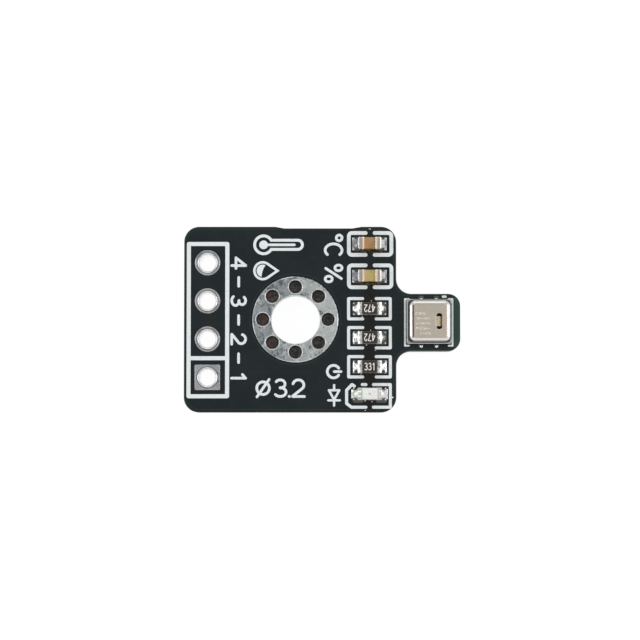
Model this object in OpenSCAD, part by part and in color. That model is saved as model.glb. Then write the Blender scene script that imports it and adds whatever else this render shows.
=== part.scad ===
// Temperature and humidity sensor module: a small black circuit board with a tab that carries
// the sensor package, a plated mounting hole, a four-hole header and a column of chips.
// Millimetres. The origin is the centre of the mounting hole at the board's underside,
// +X points along the tab and +Z is up, on the side that carries the chips.

/* [Board] */
// Length of the main board along X, without the tab
body_l = 14.1; // [13.9:0.1:16]
// Width of the main board along Y
body_w = 12.35; // [12.2:0.05:14]
// Thickness of the board with its solder mask
board_t = 1.6; // [0.8:0.1:2]
// Radius of the main board's outer corners
body_corner_r = 1; // [0.3:0.1:1.2]
// Distance from the board's left edge to the mounting hole
hole_to_left = 7.4; // [7.3:0.1:7.6]
// Depth of the shallow step along the far edge, where the board was cut from its panel
step_depth = 0.11; // [0.05:0.01:0.2]
// Where the step starts along X
step_x0 = -1.05; // [-3:0.05:0]
// Where the step ends along X
step_x1 = 4.1; // [2:0.1:4.2]

/* [Sensor tab] */
// Length of the tab beyond the main board
tab_l = 4.25; // [4.2:0.05:6]
// Width of the tab
tab_w = 3.8; // [3.7:0.05:5]
// Offset of the tab's centre line from the mounting hole
tab_y = -0.2; // [-1:0.05:1]
// Radius of the tab's outer corners
tab_corner_r = 0.8; // [0.3:0.1:1]
// Radius of the hollow corners where the tab meets the board
tab_root_r = 1; // [0.3:0.1:1.5]

/* [Mounting hole] */
// Finished diameter of the mounting hole
hole_d = 3.25; // [3:0.05:3.3]
// Diameter of the plated ring around it
ring_d = 5.75; // [5.6:0.05:6]
// Number of plated vias in the ring
via_count = 8; // [4:1:10]
// Finished diameter of each via
via_d = 0.86; // [0.5:0.02:0.88]
// Diameter of the circle that the vias lie on
via_circle_d = 4.34; // [4.32:0.01:4.4]
// Thickness of the plating on the hole walls
plating_t = 0.04; // [0.02:0.01:0.05]
// Depth of the dished plug below the ring's face
plug_depth = 0.42; // [0.1:0.01:0.6]

/* [Header] */
// Number of header holes
pin_count = 4; // [2:1:4]
// Distance between header holes
pin_pitch = 2.54; // [2:0.01:2.54]
// Distance from the board's left edge to the row of holes
header_to_left = 1.56; // [1.5:0.01:1.7]
// Offset of the row's middle from the mounting hole
header_y = -0.04; // [-0.2:0.01:0.2]
// Finished diameter of a header hole
pin_hole_d = 1.1; // [0.8:0.05:1.2]
// Diameter of a round pad, and the side of the square one
pin_pad_d = 1.7; // [1.6:0.05:1.9]

/* [Chips] */
// Place of the chip column along X
chip_x = 4.93; // [4.8:0.01:5]
// Place of the first chip along Y
chip_y0 = 5.03; // [4.9:0.01:5.04]
// Distance between the first three chips
wide_pitch = 2.16; // [2.1:0.01:2.2]
// Distance between the other chips
close_pitch = 1.93; // [1.9:0.01:1.95]
// Length of a chip, over its metal ends
chip_l = 1.6; // [1.5:0.05:1.7]
// Width of a chip
chip_w = 0.82; // [0.7:0.01:0.9]
// Height of a capacitor
capacitor_h = 0.8; // [0.5:0.05:1]
// Height of a resistor's ceramic
resistor_h = 0.42; // [0.3:0.01:0.5]
// Height of the diode's base
led_base_h = 0.28; // [0.2:0.01:0.4]
// Height of the diode's lens above its base
led_lens_h = 0.34; // [0.2:0.01:0.5]

/* [Sensor package] */
// Place of the sensor along X
sensor_x = 8.86; // [8.8:0.01:9]
// Place of the sensor along Y
sensor_y = -0.15; // [-0.2:0.01:-0.1]
// Side of the square package
sensor_w = 2.95; // [2.8:0.01:3]
// Height of the package's base
sensor_base_h = 0.28; // [0.2:0.01:0.4]
// Height of the whole package
sensor_h = 1; // [0.9:0.05:1.2]
// Width of the lid's flange
flange_w = 0.13; // [0.1:0.01:0.15]
// Offset of the lid's can towards the tab's end
can_shift = 0.08; // [0:0.01:0.1]
// Thickness of the lid's sheet metal
lid_t = 0.1; // [0.08:0.01:0.12]
// Length of the vent slot, along Y
slot_l = 1.1; // [0.8:0.05:1.3]
// Width of the vent slot
slot_w = 0.4; // [0.3:0.01:0.45]
// Distance of the vent slot from the package's centre
slot_x = 0.7; // [0.6:0.01:0.75]

/* [Printed legend] */
// Thickness of the printed ink
ink_t = 0.02; // [0.01:0.005:0.03]
// Line width of the header's frame
header_line = 0.27; // [0.2:0.01:0.3]
// Line width of the capacitor frames
capacitor_line = 0.25; // [0.15:0.01:0.27]
// Line width of the resistor and diode frames
chip_line = 0.2; // [0.15:0.01:0.22]
// Line width of the sensor's brackets
sensor_line = 0.12; // [0.1:0.01:0.16]

/* [Hidden] */
$fn = 64;
WINDOW = 0.03;      // depth of the windows in the solder mask
PROUD = 0.05;       // how far a plated pad stands above the mask
LAND_PROUD = 0.02;  // how far a chip's land stands above the mask
JOINT = 0.03;       // solder between a land and what stands on it
LIP = 0.05;         // radius of the plated mouths and pad rims
PIN_LIP = 0.11;     // radius of a header hole's mouth
STEP_RUN = 0.3;      // half the length of each slope that ends the edge step
CUT = 1;            // how far a cutter runs past the face that it opens
left_x = -hole_to_left;
right_x = left_x + body_l;
end_x = right_x + tab_l;
top_z = board_t;
land_z = top_z + LAND_PROUD;
seat_z = land_z + JOINT;
hole_r = hole_d / 2;
via_r = via_d / 2;
header_x = left_x + header_to_left;
land_gap = 0.86;                     // between the two lands of a chip
land_l = 0.7;                        // length of one land
land_w = 0.9;                        // width of one land
land_corner_r = 0.1;
cap_end_l = 0.43;                    // length of a capacitor's end cap
metal_t = 0.03;                      // thickness of the metal on a chip's ends
resistor_end_l = 0.31;               // length of a resistor's metal wrap
overcoat_t = 0.05;                   // thickness of a resistor's black overcoat
capacitor_solder_h = 0.32;           // how far the solder climbs a chip's end
resistor_solder_h = 0.27;
led_solder_h = 0.24;
led_shift = 0.13;                    // the diode sits this far off its frame's middle
led_lens_l = 1.08;
led_notch_r = 0.2;                   // half-round notch in each end of the diode's base
led_die = [0.22, 0.22, 0.1];
sensor_pad_pitch = 1.02;
sensor_pad = [0.34, 0.5];            // a sensor land, half of it under the package
package_corner_r = 0.08;             // upright corners of the package's base and flange
lid_corner_r = 0.36;
lid_edge_r = 0.28;
sensing_die = [1, 0.66, 0.3];
readout_chip = [0.9, 1.4, 0.25];
capacitors = [1, 2];
resistors = [1, 2, 3];
pins = [1 : pin_count];

// Places

// Y of a chip in the column, counted from 0 at the far edge
function chip_y(i) = chip_y0 - min(i, 2) * wide_pitch - max(i - 2, 0) * close_pitch;
function capacitor_y(n) = chip_y(n - 1);
function resistor_y(n) = chip_y(n + 1);
led_y = chip_y(5) + led_shift;
// Y of a header hole: number 1 is the square pad at the near end
function pin_y(n) = header_y + (n - (pin_count + 1) / 2) * pin_pitch;

// Radius of an arc that rises by a height over half a chord
function arc_radius(half_chord, height) = (half_chord ^ 2 + height ^ 2) / (2 * height);

// Plain shapes

module rounded_rect(size, r) {
    square([size.x - 2 * r, size.y], center = true);
    square([size.x, size.y - 2 * r], center = true);
    for (x = [-1, 1], y = [-1, 1])
        translate([x * (size.x / 2 - r), y * (size.y / 2 - r)]) circle(r);
}

// A line of round-ended strokes through a list of points
module stroke(points, width) {
    for (p = points) translate(p) circle(d = width);
    for (i = [0 : len(points) - 2]) {
        run = points[i + 1] - points[i];
        translate(points[i]) rotate(atan2(run.y, run.x)) translate([0, -width / 2])
            square([norm(run), width]);
    }
}

// Round-ended slot outline that runs along Y
module stadium(width, length) {
    half = (length - width) / 2;
    stroke([[0, -half], [0, half]], width);
}

// A rectangular frame, broken by a gap at the middle of its two long sides
module broken_frame(size, r, line, gap) {
    difference() {
        rounded_rect(size, r);
        rounded_rect([size.x - 2 * line, size.y - 2 * line], max(r - line, 0.02));
        square([gap + line, size.y + CUT], center = true);
    }
    for (x = [-1, 1], y = [-1, 1])
        translate([x * (gap + line) / 2, y * (size.y - line) / 2]) circle(d = line);
}

// Outline of a bar that lies on its flat side, with its two upper edges rounded
module loaf(width, height, r) {
    translate([-width / 2, 0]) square([width, height - r]);
    translate([-width / 2 + r, 0]) square([width - 2 * r, height]);
    for (x = [-1, 1]) translate([x * (width / 2 - r), height - r]) circle(r);
}

// Disc with a rounded upper rim
module rimmed_disc(r, height, rim) {
    rotate_extrude() {
        square([r, height - rim]);
        square([r - rim, height]);
        intersection() {
            translate([r - rim, height - rim]) circle(rim);
            square([r, height]);
        }
    }
}

// Block with rounded upright corners and rounded upper edges, standing on z = 0
module soft_block(size, corner_r, edge_r) {
    intersection() {
        linear_extrude(size.z) rounded_rect([size.x, size.y], corner_r);
        rotate([90, 0, 0]) linear_extrude(size.y, center = true) loaf(size.x, size.z, edge_r);
        rotate([90, 0, 90]) linear_extrude(size.x, center = true) loaf(size.y, size.z, edge_r);
    }
}

// Block with every edge rounded, centred on the origin
module pebble(size, r) {
    intersection() {
        linear_extrude(size.z, center = true) rounded_rect([size.x, size.y], r);
        rotate([90, 0, 0]) linear_extrude(size.y, center = true) rounded_rect([size.x, size.z], r);
        rotate([90, 0, 90]) linear_extrude(size.x, center = true) rounded_rect([size.y, size.z], r);
    }
}

// Round hole from z0 to z1 whose two mouths are rounded
module belled_bore(r, z0, z1, lip) {
    translate([0, 0, z0 - CUT]) cylinder(r = r, h = z1 - z0 + 2 * CUT);
    translate([0, 0, z1 - lip]) bell(r, lip);
    translate([0, 0, z0 + lip]) mirror([0, 0, 1]) bell(r, lip);
}

module bell(r, lip) {
    rotate_extrude() difference() {
        square([r + lip, 2 * lip]);
        translate([r + lip, 0]) circle(lip);
    }
}

// Low round mound of solder
module mound(base_r, height) {
    ball_r = arc_radius(base_r, height);
    intersection() {
        translate([0, 0, height - ball_r]) sphere(ball_r);
        cylinder(r = base_r, h = height);
    }
}

// Hollow wedge of solder against a wall at x = 0, run out over a length on z = 0
module solder_wedge(length, height, width) {
    arc_r = arc_radius(length, height);
    rotate([90, 0, 0]) linear_extrude(width, center = true) difference() {
        square([length, height]);
        translate([length, arc_r]) circle(arc_r);
    }
}

// Circuit board

module board_outline() {
    body_mid = [(left_x + right_x) / 2, 0];
    difference() {
        union() {
            translate(body_mid) rounded_rect([body_l, body_w], body_corner_r);
            translate([0, tab_y]) tab_outline();
        }
        edge_step();
    }
}

module tab_outline() {
    long = tab_l + body_corner_r;
    translate([end_x - long / 2, 0]) rounded_rect([long, tab_w], tab_corner_r);
    translate([right_x - body_corner_r, -tab_w / 2]) square([body_corner_r + tab_root_r, tab_w]);
    for (side = [0, 1]) mirror([0, side]) translate([right_x, tab_w / 2]) difference() {
        translate([-tab_root_r / 2, -tab_root_r / 2]) square(1.5 * tab_root_r);
        translate([tab_root_r, tab_root_r]) circle(tab_root_r);
    }
}

// Shallow step with sloping ends in the far edge
module edge_step() {
    y = body_w / 2;
    polygon([[step_x0 - STEP_RUN, y], [step_x0 + STEP_RUN, y - step_depth],
        [step_x1 - STEP_RUN, y - step_depth], [step_x1 + STEP_RUN, y],
        [step_x1 + STEP_RUN, y + CUT], [step_x0 - STEP_RUN, y + CUT]]);
}

module via_places() {
    for (i = [0 : via_count - 1]) rotate(90 + i * 360 / via_count)
        translate([via_circle_d / 2, 0]) children();
}

module pin_place(n) {
    translate([header_x, pin_y(n)]) children();
}

module pad_outline(n) {
    if (n == 1) rounded_rect([pin_pad_d, pin_pad_d], LIP);
    else circle(d = pin_pad_d);
}

module printed_circuit_board() {
    color([0.11, 0.13, 0.14]) difference() {
        linear_extrude(board_t) board_outline();
        drilled_holes();
        translate([0, 0, top_z - WINDOW]) linear_extrude(CUT) {
            plated_outlines();
            land_outlines();
        }
        translate([0, 0, WINDOW - CUT]) linear_extrude(CUT) plated_outlines();
    }
}

module plated_outlines() {
    circle(d = ring_d);
    for (n = pins) pin_place(n) pad_outline(n);
}

// Holes as drilled, before plating
module drilled_holes() {
    translate([0, 0, -CUT]) {
        cylinder(r = hole_r + plating_t, h = board_t + 2 * CUT);
        via_places() cylinder(r = via_r + plating_t, h = board_t + 2 * CUT);
        for (n = pins) pin_place(n) cylinder(d = pin_hole_d + 2 * plating_t, h = board_t + 2 * CUT);
    }
}

// Plating

module mounting_ring() {
    color([0.72, 0.72, 0.70]) difference() {
        union() {
            translate([0, 0, top_z - WINDOW]) rimmed_disc(ring_d / 2, WINDOW + PROUD, LIP);
            cylinder(d = ring_d, h = WINDOW);
            cylinder(r = hole_r + plating_t, h = board_t);
            via_places() cylinder(r = via_r + plating_t, h = board_t);
        }
        belled_bore(hole_r, 0, top_z + PROUD, LIP);
        via_places() belled_bore(via_r, 0, top_z + PROUD, LIP);
    }
}

module via_plugs() {
    z0 = plug_depth / 2;
    z1 = top_z + PROUD - plug_depth;
    dish = 0.06;
    ball_r = arc_radius(0.9 * via_r, dish);  // the dish stops short of the wall
    color([0.20, 0.16, 0.14]) via_places() difference() {
        translate([0, 0, z0]) cylinder(r = via_r, h = z1 - z0);
        translate([0, 0, z1 - dish + ball_r]) sphere(ball_r);
    }
}

module header_eyelet(n) {
    color([0.75, 0.75, 0.73]) pin_place(n) difference() {
        union() {
            translate([0, 0, top_z - WINDOW]) pad_plate(n, WINDOW + PROUD);
            linear_extrude(WINDOW) pad_outline(n);
            cylinder(d = pin_hole_d + 2 * plating_t, h = board_t);
        }
        belled_bore(pin_hole_d / 2, 0, top_z + PROUD, PIN_LIP);
    }
}

module pad_plate(n, height) {
    if (n == 1) soft_block([pin_pad_d, pin_pad_d, height], LIP, LIP);
    else rimmed_disc(pin_pad_d / 2, height, LIP);
}

// Lands that the chips and the sensor are soldered to

module land_outlines() {
    for (i = [0 : 5]) translate([chip_x, chip_y(i)]) for (side = [-1, 1])
        translate([side * (land_gap + land_l) / 2, 0]) rounded_rect([land_l, land_w], land_corner_r);
    sensor_pad_places() rounded_rect(sensor_pad, land_corner_r);
}

module sensor_pad_places() {
    for (x = [-0.5, 0.5], y = [-1, 1])
        translate([sensor_x + x * sensor_pad_pitch, sensor_y + y * sensor_w / 2]) children();
}

module copper_lands() {
    color([0.80, 0.76, 0.66]) translate([0, 0, top_z - WINDOW])
        linear_extrude(WINDOW + LAND_PROUD) land_outlines();
}

// Solder at both ends of a chip: a film under the end, and a hollow wedge up its face
module chip_solder(length, height) {
    wedge_l = land_gap / 2 + land_l - length / 2;
    width = chip_w - 0.05;
    color([0.78, 0.78, 0.77]) for (side = [0, 1]) mirror([side, 0, 0]) {
        translate([(land_gap / 2 + length / 2) / 2, 0, JOINT / 2])
            cube([length / 2 - land_gap / 2, width, JOINT], center = true);
        translate([length / 2, 0, 0]) solder_wedge(wedge_l, height, width);
    }
}

// Chip capacitors

module capacitor_middle(n) {
    translate([chip_x, capacitor_y(n), seat_z + capacitor_h / 2]) children();
}

module ceramic_block() {
    pebble([chip_l - 2 * metal_t, chip_w - 2 * metal_t, capacitor_h - 2 * metal_t], 0.05);
}

// The first capacitor's ceramic is browner than the second's
module capacitor_ceramic(n) {
    color(n == 1 ? [0.66, 0.50, 0.31] : [0.69, 0.63, 0.40]) capacitor_middle(n) ceramic_block();
}

module capacitor_end_caps(n) {
    color([0.80, 0.76, 0.72]) capacitor_middle(n) difference() {
        pebble([chip_l, chip_w, capacitor_h], 0.09);
        ceramic_block();
        cube([chip_l - 2 * cap_end_l, chip_w + CUT, capacitor_h + CUT], center = true);
    }
}

module capacitor_solder(n) {
    translate([chip_x, capacitor_y(n), land_z]) chip_solder(chip_l, capacitor_solder_h);
}

// Chip resistors

module resistor_place(n) {
    translate([chip_x, resistor_y(n), seat_z]) children();
}

module resistor_substrate(n) {
    color([0.90, 0.90, 0.88]) resistor_place(n)
        translate([-chip_l / 2 + metal_t, -chip_w / 2, metal_t])
        cube([chip_l - 2 * metal_t, chip_w, resistor_h - 2 * metal_t]);
}

module resistor_overcoat(n) {
    length = chip_l - 2 * resistor_end_l;
    color([0.10, 0.09, 0.08]) resistor_place(n) translate([0, 0, resistor_h - metal_t])
        soft_block([length, chip_w, metal_t + overcoat_t], 0.04, 0.03);
}

module resistor_end_wraps(n) {
    color([0.85, 0.85, 0.83]) resistor_place(n) rotate([90, 0, 0])
        linear_extrude(chip_w, center = true) difference() {
            translate([0, resistor_h / 2]) rounded_rect([chip_l, resistor_h], metal_t);
            translate([-chip_l / 2 + metal_t, metal_t])
                square([chip_l - 2 * metal_t, resistor_h - 2 * metal_t]);
            square([chip_l - 2 * resistor_end_l, 2 * resistor_h + CUT], center = true);
        }
}

module resistor_solder(n) {
    translate([chip_x, resistor_y(n), land_z]) chip_solder(chip_l, resistor_solder_h);
}

// Light-emitting diode

module led_place() {
    translate([chip_x, led_y, seat_z]) children();
}

module led_notches(r) {
    for (side = [-1, 1]) translate([side * chip_l / 2, 0]) circle(r);
}

module led_base() {
    color([0.86, 0.88, 0.82]) led_place() translate([0, 0, metal_t])
        linear_extrude(led_base_h - 2 * metal_t) difference() {
            square([chip_l, chip_w], center = true);
            led_notches(led_notch_r + metal_t);
        }
}

// Metal over, under and inside the notch of each end
module led_terminals() {
    color([0.84, 0.84, 0.80]) led_place() {
        for (z = [0, led_base_h - metal_t]) translate([0, 0, z]) linear_extrude(metal_t)
            difference() {
                square([chip_l, chip_w], center = true);
                square([led_lens_l, chip_w + CUT], center = true);
                led_notches(led_notch_r);
            }
        linear_extrude(led_base_h) difference() {
            intersection() {
                led_notches(led_notch_r + metal_t);
                square([chip_l, chip_w], center = true);
            }
            led_notches(led_notch_r);
        }
    }
}

// Moulded lens with sides that lean in, and a pocket that the die fills
module led_lens() {
    lean = 0.05;
    z0 = led_base_h - metal_t;
    height = led_lens_h + metal_t;
    color([0.93, 0.94, 0.90]) led_place() translate([0, 0, z0]) difference() {
        intersection() {
            rotate([90, 0, 0]) linear_extrude(chip_w, center = true)
                leaning_outline(led_lens_l, height, lean);
            rotate([90, 0, 90]) linear_extrude(led_lens_l, center = true)
                leaning_outline(chip_w, height, lean);
        }
        translate([0, 0, led_die.z / 2 - CUT / 2])
            cube([led_die.x, led_die.y, led_die.z + CUT], center = true);
    }
}

module leaning_outline(width, height, lean) {
    polygon([[-width / 2, 0], [width / 2, 0], [width / 2 - lean, height],
        [-width / 2 + lean, height]]);
}

module led_die() {
    color([0.55, 0.60, 0.45]) led_place() translate([0, 0, led_base_h - metal_t + led_die.z / 2])
        cube(led_die, center = true);
}

module led_solder() {
    translate([chip_x, led_y, land_z]) chip_solder(chip_l, led_solder_h);
}

// Sensor package

module sensor_place() {
    translate([sensor_x, sensor_y, seat_z]) children();
}

module sensor_base() {
    color([0.30, 0.34, 0.30]) sensor_place() linear_extrude(sensor_base_h)
        rounded_rect([sensor_w, sensor_w], package_corner_r);
}

// Drawn metal lid: a flange, and a can with a cavity and the vent slot
module sensor_lid() {
    can_w = sensor_w - 2 * flange_w;
    can_h = sensor_h - sensor_base_h;
    cavity_w = can_w - 2 * lid_t;
    color([0.78, 0.74, 0.69]) sensor_place() translate([0, 0, sensor_base_h]) difference() {
        union() {
            linear_extrude(lid_t) rounded_rect([sensor_w, sensor_w], package_corner_r);
            translate([can_shift, 0]) soft_block([can_w, can_w, can_h], lid_corner_r, lid_edge_r);
        }
        translate([can_shift, 0, -CUT]) soft_block([cavity_w, cavity_w, can_h - lid_t + CUT],
            lid_corner_r - lid_t, lid_edge_r - lid_t);
        linear_extrude(sensor_h) translate([slot_x, 0]) stadium(slot_w, slot_l);
    }
}

// The sensing element lies under the vent slot, shorter than the slot
module sensor_element() {
    color([0.80, 0.72, 0.52]) sensor_place()
        translate([slot_x, 0, sensor_base_h + sensing_die.z / 2]) cube(sensing_die, center = true);
}

module sensor_readout_chip() {
    color([0.35, 0.35, 0.38]) sensor_place()
        translate([-sensor_w / 5, 0, sensor_base_h + readout_chip.z / 2])
        cube(readout_chip, center = true);
}

// A film of solder under the package's edge, and a mound on each land's free end
module sensor_solder() {
    color([0.82, 0.82, 0.80]) for (side = [0, 1], x = [-0.5, 0.5])
        translate([sensor_x + x * sensor_pad_pitch, sensor_y, land_z]) mirror([0, side, 0])
        translate([0, sensor_w / 2, 0]) {
            translate([0, -0.08, JOINT / 2]) cube([0.28, 0.24, JOINT], center = true);
            translate([0, 0.13, 0]) mound(0.12, 0.09);
        }
}

// Printed legend

module ink() {
    color([0.93, 0.94, 0.94]) translate([0, 0, top_z]) linear_extrude(ink_t) children();
}

// Frame round the header, with a bar that sets off the square pad
module header_legend() {
    frame = [2.83, (pin_count - 1) * pin_pitch + 2.78];
    bar_y = (pin_y(1) + pin_y(2)) / 2;
    ink() translate([header_x + 0.03, header_y]) difference() {
        rounded_rect(frame, 0.15);
        difference() {
            square([frame.x - 2 * header_line, frame.y - 2 * header_line], center = true);
            translate([0, bar_y - header_y]) square([frame.x, header_line], center = true);
        }
    }
}

// Thermometer lying on its side, bulb to the left
module thermometer_legend() {
    bulb_d = 1.38;
    tube_d = 0.8;
    tube_l = 2.28;
    line = 0.19;
    ink() translate([-2.12, 4.97]) {
        difference() {
            thermometer_outline(bulb_d, tube_d, tube_l);
            thermometer_outline(bulb_d - 2 * line, tube_d - 2 * line, tube_l);
        }
        circle(d = 0.58);
        stroke([[0, 0], [2.05, 0]], 0.17);
    }
}

module thermometer_outline(bulb_d, tube_d, tube_l) {
    circle(d = bulb_d);
    stroke([[0, 0], [tube_l, 0]], tube_d);
}

// Droplet with its tip to the right, and a highlight inside its round end
module droplet_legend() {
    r = 0.64;
    tip = 1.12;
    line = 0.16;
    inner_r = r - line;
    ink() translate([-2.17, 3.24]) {
        difference() {
            droplet_outline(r, tip);
            droplet_outline(inner_r, tip * inner_r / r);
        }
        difference() {
            circle(inner_r - 0.07);
            translate([1.27, -0.43]) circle(1.35);
        }
    }
}

// Circle with two straight sides that touch it and meet at the tip
module droplet_outline(r, tip) {
    lean = acos(r / tip);
    circle(r);
    polygon([[0, 0], r * [cos(lean), sin(lean)], [tip, 0], r * [cos(lean), -sin(lean)]]);
}

// Frames round the chips of the column
module chip_legend() {
    ink() {
        for (n = capacitors) translate([chip_x + 0.04, capacitor_y(n)])
            broken_frame([3.08, 1.71], 0.33, capacitor_line, 0.35);
        for (n = resistors) translate([chip_x - 0.01, resistor_y(n)])
            broken_frame([2.97, 1.55], 0.12, chip_line, 0.7);
        translate([chip_x, chip_y(5)]) led_frame();
    }
}

// The diode's frame has slanted corners at one end, which show its polarity
module led_frame() {
    y = 0.75;
    near_x = 1.37;
    far_x = -1.53;
    gap_x = 0.25;
    stroke([[gap_x, -y], [near_x, -y], [near_x, y], [gap_x, y]], chip_line);
    stroke([[-gap_x, -y], [far_x + 0.32, -y], [far_x, -y + 0.25], [far_x, y - 0.37],
        [far_x + 0.36, y], [far_x + 0.51, y - 0.1]], chip_line);
    stroke([[-gap_x, y], [-gap_x - 0.24, y]], chip_line);
}

// Brackets on both sides of the sensor, and the mark of its first contact
module sensor_legend() {
    ink() translate([sensor_x, tab_y]) {
        for (side = [0, 1]) mirror([side, 0])
            stroke([[1.32, 1.55], [1.58, 1.55], [1.58, -1.55], [1.32, -1.55]], sensor_line);
        translate([1.03, 1.71]) rotate(90) stadium(0.16, 0.33);
    }
}

printed_circuit_board();
mounting_ring();
via_plugs();
for (n = pins) header_eyelet(n);
header_legend();
thermometer_legend();
droplet_legend();
chip_legend();
sensor_legend();
copper_lands();
for (n = capacitors) {
    capacitor_ceramic(n);
    capacitor_end_caps(n);
    capacitor_solder(n);
}
for (n = resistors) {
    resistor_substrate(n);
    resistor_overcoat(n);
    resistor_end_wraps(n);
    resistor_solder(n);
}
led_base();
led_lens();
led_die();
led_terminals();
led_solder();
sensor_base();
sensor_lid();
sensor_element();
sensor_readout_chip();
sensor_solder();
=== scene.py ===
import math
import random

import bmesh
import bpy
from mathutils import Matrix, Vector


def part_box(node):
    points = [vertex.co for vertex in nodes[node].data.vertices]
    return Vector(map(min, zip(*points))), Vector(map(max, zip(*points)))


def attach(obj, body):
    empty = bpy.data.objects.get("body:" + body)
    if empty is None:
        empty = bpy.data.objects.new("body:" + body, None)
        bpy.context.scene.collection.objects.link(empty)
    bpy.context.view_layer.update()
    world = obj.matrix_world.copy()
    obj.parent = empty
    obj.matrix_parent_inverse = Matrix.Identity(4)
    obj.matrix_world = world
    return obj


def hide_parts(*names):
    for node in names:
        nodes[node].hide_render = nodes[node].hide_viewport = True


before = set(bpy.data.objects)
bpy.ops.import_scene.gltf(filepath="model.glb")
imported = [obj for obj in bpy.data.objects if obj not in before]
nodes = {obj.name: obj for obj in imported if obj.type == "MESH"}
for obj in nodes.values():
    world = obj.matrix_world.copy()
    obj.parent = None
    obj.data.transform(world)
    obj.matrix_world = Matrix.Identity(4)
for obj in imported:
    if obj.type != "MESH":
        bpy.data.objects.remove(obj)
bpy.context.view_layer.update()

# Sizes are in millimetres, as in the frame's own drawing, and become metres in add_mesh
MM = 0.001
BODY = "root"


def box_mm(name):
    low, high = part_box(name)
    return low / MM, high / MM


board_low, board_high = box_mm("printed_circuit_board")
BOARD_TOP = board_high.z
INK_LOW = BOARD_TOP - 0.004
INK_HIGH = box_mm("header_legend")[1].z
LAND_TOP = box_mm("copper_lands")[1].z
PAD_TOP = box_mm("mounting_ring")[1].z


# Meshes

def add_mesh(name, points, faces, materials, kinds=None):
    """A smooth piece from points in millimetres; kinds has the material's number for each face."""
    mesh = bpy.data.meshes.new(name)
    mesh.from_pydata([[c * MM for c in p] for p in points], [], faces)
    shape = bmesh.new()
    shape.from_mesh(mesh)
    bmesh.ops.recalc_face_normals(shape, faces=shape.faces)
    shape.to_mesh(mesh)
    shape.free()
    for material in materials:
        mesh.materials.append(material)
    for polygon in mesh.polygons:
        polygon.use_smooth = True
        polygon.material_index = kinds[polygon.index] if kinds else 0
    piece = bpy.data.objects.new(name, mesh)
    bpy.context.scene.collection.objects.link(piece)
    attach(piece, BODY)
    return piece


def circle_ring(cx, cy, r, z, count=32):
    turn = 2 * math.pi / count
    return [(cx + r * math.cos(turn * i), cy + r * math.sin(turn * i), z) for i in range(count)]


def rounded_ring(low, high, corner, z, steps=10):
    """Points round a rectangle with round corners."""
    ring = []
    for i, (sx, sy) in enumerate(((1, 1), (-1, 1), (-1, -1), (1, -1))):
        px = (high if sx > 0 else low)[0] - sx * corner
        py = (high if sy > 0 else low)[1] - sy * corner
        for step in range(steps + 1):
            a = math.radians(90 * (i + step / steps))
            ring.append((px + corner * math.cos(a), py + corner * math.sin(a), z))
    return ring


class Solids:
    """Gathers closed shapes into one list of points and faces."""

    def __init__(self):
        self.points = []
        self.faces = []

    def add(self, points, faces):
        start = len(self.points)
        self.points += points
        self.faces += [[start + i for i in f] for f in faces]

    def rings(self, rings, closed=False):
        """Joins rings of equal length; ends are capped unless the rings close on themselves."""
        count = len(rings[0])
        points = [p for ring in rings for p in ring]
        faces = []
        last = len(rings) if closed else len(rings) - 1
        for i in range(last):
            a = i * count
            b = (i + 1) % len(rings) * count
            for j in range(count):
                k = (j + 1) % count
                faces.append([a + j, a + k, b + k, b + j])
        if not closed:
            faces.append(list(range(count))[::-1])
            faces.append([len(points) - count + j for j in range(count)])
        self.add(points, faces)

    def height_field(self, steps_u, steps_v, top, floor_z):
        """A closed block whose upper side is top(u, v), with u and v from 0 to 1."""
        points = []
        for i in range(steps_u + 1):
            for j in range(steps_v + 1):
                points.append(top(i / steps_u, j / steps_v))
        row = steps_v + 1
        upper = len(points)
        points += [(p[0], p[1], floor_z) for p in points]
        faces = []
        for i in range(steps_u):
            for j in range(steps_v):
                a = i * row + j
                faces.append([a, a + row, a + row + 1, a + 1])
                faces.append([upper + a, upper + a + 1, upper + a + row + 1, upper + a + row])
        rim = [j for j in range(row)]
        rim += [i * row + steps_v for i in range(1, steps_u + 1)]
        rim += [steps_u * row + j for j in range(steps_v - 1, -1, -1)]
        rim += [i * row for i in range(steps_u - 1, 0, -1)]
        for a, b in zip(rim, rim[1:] + rim[:1]):
            faces.append([a, b, upper + b, upper + a])
        self.add(points, faces)


# Node trees

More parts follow.
